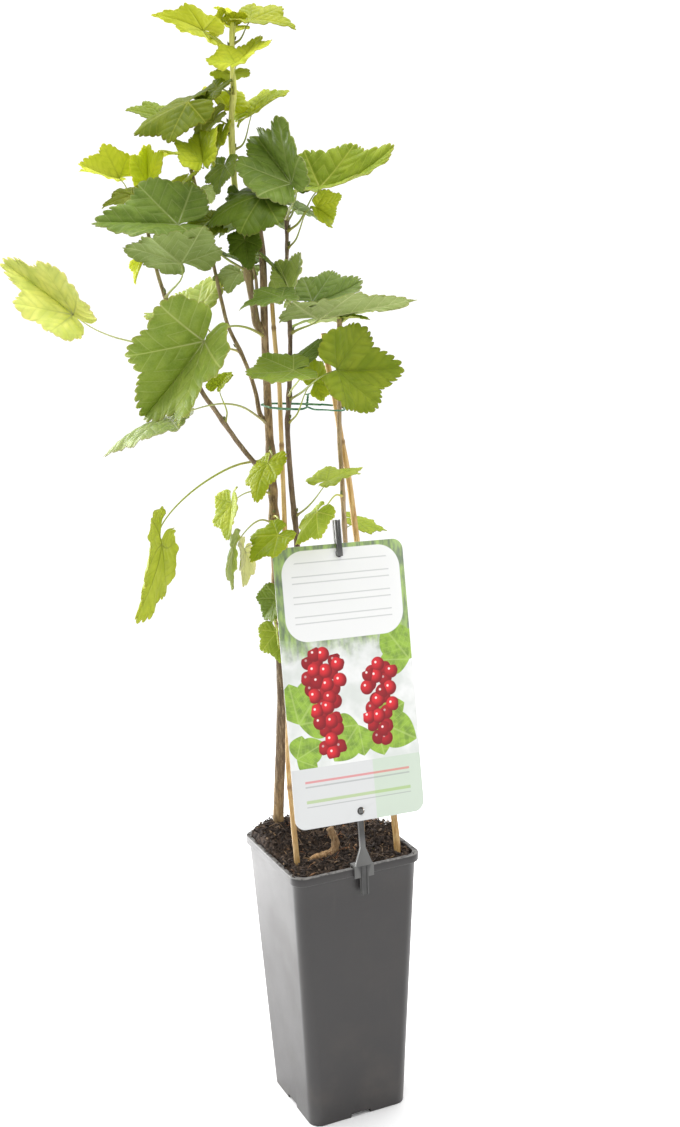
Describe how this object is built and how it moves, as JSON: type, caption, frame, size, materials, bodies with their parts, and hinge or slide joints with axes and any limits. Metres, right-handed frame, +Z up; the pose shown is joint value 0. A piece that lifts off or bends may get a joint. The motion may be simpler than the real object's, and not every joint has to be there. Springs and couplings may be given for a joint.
{
  "type": "potted red currant bush",
  "caption": "Young red currant bush in a deep square nursery pot, with stems, supporting canes, a wire tie and a staked label card.",
  "frame": {"origin": "centre of the pot's foot, on the ground it stands on", "axes": "+Z up, +X to the right across the label, -Y out of the label's face"},
  "size_m": [0.2839, 0.1769, 0.8983],
  "materials": {
    "pot_plastic": "satin",
    "peat": "matte",
    "bark": "matte",
    "young_bark": "matte",
    "green_shoot": "satin",
    "bamboo": "satin",
    "dead_root": "matte",
    "tie_coating": "satin",
    "card": "satin",
    "stake_plastic": "satin",
    "young_leaf": "satin",
    "grown_leaf": "satin",
    "old_leaf": "satin"
  },
  "bodies": {
    "root": {"pot": "pot_plastic", "soil": "peat", "root_stub": "dead_root", "label_card": "card", "label_stake": "stake_plastic", "tie_wire": "tie_coating", "main_stem": "bark", "second_stem": "bark", "left_branch": "bark", "leader": "green_shoot", "inner_branch": "young_bark", "thin_twig": "young_bark", "right_stem": "young_bark", "front_cane": "bamboo", "right_cane": "bamboo", "leaf_top_left": "young_leaf", "leaf_top_right": "young_leaf", "leaf_top_folded": "young_leaf", "leaf_top_small": "young_leaf", "leaf_high_right": "young_leaf", "leaf_high_left_edge": "young_leaf", "leaf_high_left": "grown_leaf", "leaf_outer_yellow": "young_leaf", "leaf_inner_yellow": "young_leaf", "leaf_round_left": "young_leaf", "leaf_dark_right": "old_leaf", "leaf_behind_right": "old_leaf", "leaf_big_right": "grown_leaf", "leaf_yellow_right": "young_leaf", "leaf_centre_dark": "old_leaf", "leaf_left_dark": "old_leaf", "leaf_left_behind": "old_leaf", "leaf_underside_left": "grown_leaf", "leaf_hanging_yellow": "young_leaf", "leaf_far_left": "young_leaf", "leaf_behind_left": "grown_leaf", "leaf_big_left": "grown_leaf", "leaf_edge_left": "grown_leaf", "leaf_tiny_left": "young_leaf", "leaf_long_tip": "old_leaf", "leaf_over_stem": "old_leaf", "leaf_scalloped": "grown_leaf", "leaf_underside_right": "grown_leaf", "leaf_bright_right": "young_leaf", "leaf_middle_dark": "old_leaf", "leaf_middle_yellow": "young_leaf", "leaf_middle_left": "grown_leaf", "leaf_low_over_stem": "young_leaf", "leaf_hanging": "young_leaf", "leaf_low_pale": "young_leaf", "leaf_low_round": "grown_leaf", "leaf_low_edge": "grown_leaf", "leaf_low_behind": "young_leaf", "leaf_label_upper": "grown_leaf", "leaf_label_lower": "grown_leaf", "leaf_low_flat": "young_leaf", "leaf_low_folded": "grown_leaf", "leaf_low_far_right": "young_leaf", "leaf_dark_behind": "old_leaf", "leaf_olive_left": "grown_leaf"}
  },
  "joints": []
}
